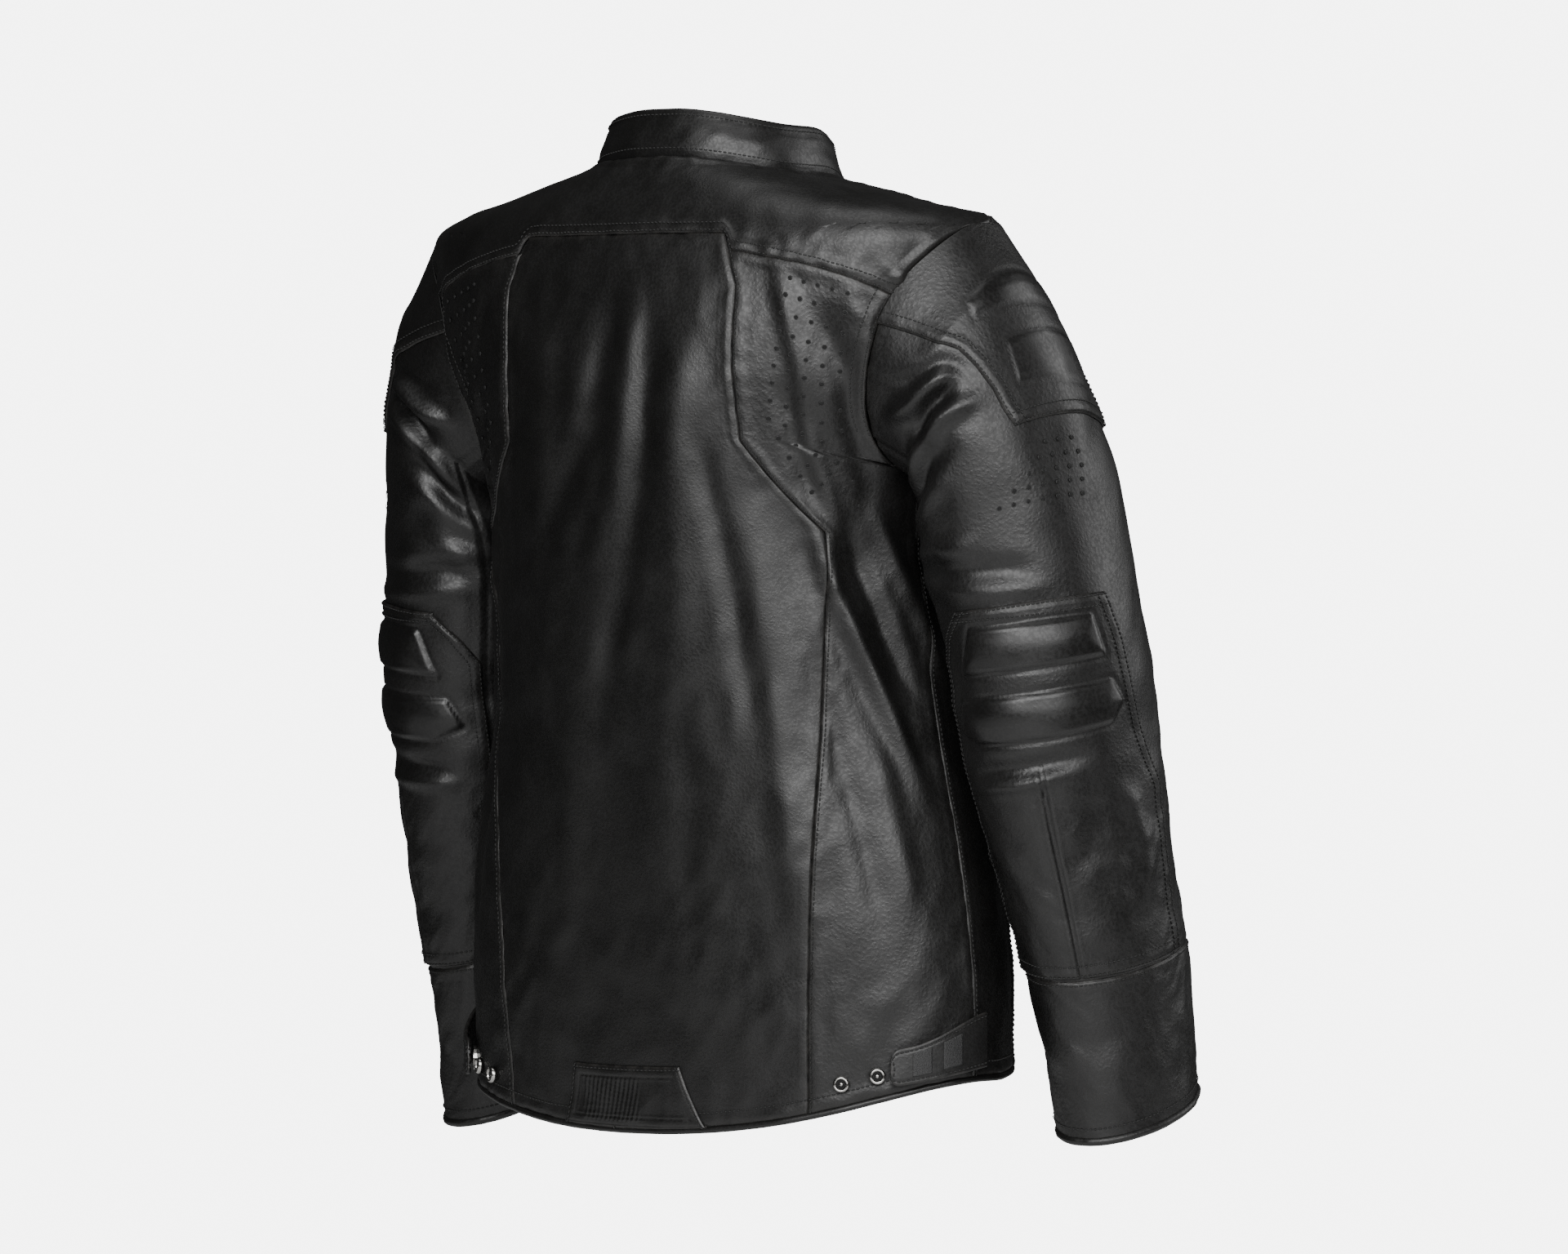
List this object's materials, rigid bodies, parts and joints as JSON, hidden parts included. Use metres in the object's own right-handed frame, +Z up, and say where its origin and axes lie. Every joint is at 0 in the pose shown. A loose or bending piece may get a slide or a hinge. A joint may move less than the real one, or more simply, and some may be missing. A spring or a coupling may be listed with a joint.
{
  "type": "leather riding jacket",
  "caption": "Black leather motorcycle jacket with stand collar, perforated back panels, padded shoulder and elbow panels, front zip and snap hem tabs; arms swing and bend",
  "frame": {"origin": "on the wearer's axis at the height of the collar seam at the back of the neck", "axes": "+Z up, front of the jacket faces -Y, wearer's left is +X"},
  "size_m": [0.6614, 0.32, 0.7517],
  "materials": {
    "black_leather": "semi-gloss pebbled black cowhide",
    "smooth_leather": "smoother black leather of binding, hem patch and tabs",
    "lining_cloth": "black knitted mesh lining",
    "armour_foam": "matt moulded armour foam",
    "nickel": "polished nickel snaps",
    "zip_metal": "black nickel zip metal",
    "zip_tape": "black woven zip tape"
  },
  "bodies": {
    "root": {"back_panel": "black_leather", "back_side_panel_left": "black_leather", "back_side_panel_right": "black_leather", "back_yoke": "black_leather", "front_panel_left": "black_leather", "front_panel_right": "black_leather", "side_panel_left": "black_leather", "side_panel_right": "black_leather", "collar": "black_leather", "sleeve_head_left": "black_leather", "shoulder_cap_left": "black_leather", "sleeve_head_right": "black_leather", "shoulder_cap_right": "black_leather", "hem_binding": "smooth_leather", "hem_patch": "smooth_leather", "torso_lining": "lining_cloth", "hanger_loop": "lining_cloth", "back_protector": "armour_foam", "shoulder_armour_left": "armour_foam", "shoulder_armour_right": "armour_foam", "hem_stud_left_1": "nickel", "hem_stud_left_2": "nickel", "hem_tab_left_stud": "nickel", "hem_stud_right_1": "nickel", "hem_stud_right_2": "nickel", "hem_tab_right_stud": "nickel", "collar_tab_stud": "nickel", "zip_teeth_left": "zip_metal", "zip_teeth_right": "zip_metal", "zip_tape_left": "zip_tape", "pocket_zip_left": "zip_tape", "zip_tape_right": "zip_tape", "pocket_zip_right": "zip_tape"},
    "zip_slider": {"zip_slider": "zip_metal"},
    "zip_pull": {"zip_pull": "zip_metal"},
    "collar_tab": {"collar_tab": "black_leather", "collar_tab_socket": "nickel"},
    "pocket_slider_left": {"pocket_zip_left_slider": "zip_metal"},
    "cuff_slider_left": {"cuff_zip_left_slider": "zip_metal"},
    "hem_tab_left": {"hem_tab_left": "smooth_leather", "hem_tab_left_socket": "nickel"},
    "upper_arm_left": {"upper_sleeve_left": "black_leather", "elbow_gusset_left": "black_leather"},
    "forearm_left": {"forearm_sleeve_left": "black_leather", "elbow_panel_left": "black_leather", "elbow_armour_left": "armour_foam", "cuff_left": "black_leather", "cuff_zip_left": "zip_tape"},
    "pocket_slider_right": {"pocket_zip_right_slider": "zip_metal"},
    "cuff_slider_right": {"cuff_zip_right_slider": "zip_metal"},
    "hem_tab_right": {"hem_tab_right": "smooth_leather", "hem_tab_right_socket": "nickel"},
    "upper_arm_right": {"upper_sleeve_right": "black_leather", "elbow_gusset_right": "black_leather"},
    "forearm_right": {"forearm_sleeve_right": "black_leather", "elbow_panel_right": "black_leather", "elbow_armour_right": "armour_foam", "cuff_right": "black_leather", "cuff_zip_right": "zip_tape"}
  },
  "joints": [
    {"name": "zip_slide", "type": "slide", "parent": "root", "child": "zip_slider", "axis": [0, -0.1012, -0.9949], "range_m": [0, 0.555]},
    {"name": "zip_pull_swing", "type": "hinge", "parent": "zip_slider", "child": "zip_pull", "pos_m": [0, -0.06484, -0.05055], "axis": [-1, 0, 0], "range_deg": [0, 110]},
    {"name": "collar_tab_fold", "type": "hinge", "parent": "root", "child": "collar_tab", "pos_m": [-0.0325, -0.0605, -0.0243], "axis": [0, 0, -1], "range_deg": [0, 120]},
    {"name": "shoulder_left", "type": "hinge", "parent": "root", "child": "upper_arm_left", "pos_m": [0.21295, 0.0335, -0.14239], "axis": [-1, 0, 0], "range_deg": [-10, 60], "deforming": ["sleeve_head_left", "shoulder_cap_left"]},
    {"name": "elbow_left", "type": "hinge", "parent": "upper_arm_left", "child": "forearm_left", "pos_m": [0.26229, -0.02479, -0.37947], "axis": [-1, 0, 0], "range_deg": [0, 65], "deforming": ["elbow_gusset_left"]},
    {"name": "pocket_slide_left", "type": "slide", "parent": "root", "child": "pocket_slider_left", "axis": [0.1841, -0.0502, -0.9816], "range_m": [0, 0.128]},
    {"name": "cuff_slide_left", "type": "slide", "parent": "forearm_left", "child": "cuff_slider_left", "axis": [0.1061, -0.1554, -0.9821], "range_m": [0, 0.078]},
    {"name": "hem_tab_fold_left", "type": "hinge", "parent": "root", "child": "hem_tab_left", "pos_m": [0.2275, 0.0125, -0.65344], "axis": [0, 0, -1], "range_deg": [0, 100]},
    {"name": "shoulder_right", "type": "hinge", "parent": "root", "child": "upper_arm_right", "pos_m": [-0.21295, 0.0335, -0.14239], "axis": [-1, 0, 0], "range_deg": [-10, 60], "deforming": ["sleeve_head_right", "shoulder_cap_right"]},
    {"name": "elbow_right", "type": "hinge", "parent": "upper_arm_right", "child": "forearm_right", "pos_m": [-0.26229, -0.02479, -0.37947], "axis": [-1, 0, 0], "range_deg": [0, 65], "deforming": ["elbow_gusset_right"]},
    {"name": "pocket_slide_right", "type": "slide", "parent": "root", "child": "pocket_slider_right", "axis": [-0.1841, -0.0502, -0.9816], "range_m": [0, 0.128]},
    {"name": "cuff_slide_right", "type": "slide", "parent": "forearm_right", "child": "cuff_slider_right", "axis": [-0.1061, -0.1554, -0.9821], "range_m": [0, 0.078]},
    {"name": "hem_tab_fold_right", "type": "hinge", "parent": "root", "child": "hem_tab_right", "pos_m": [-0.2275, 0.0125, -0.65344], "axis": [0, 0, 1], "range_deg": [0, 100]}
  ]
}
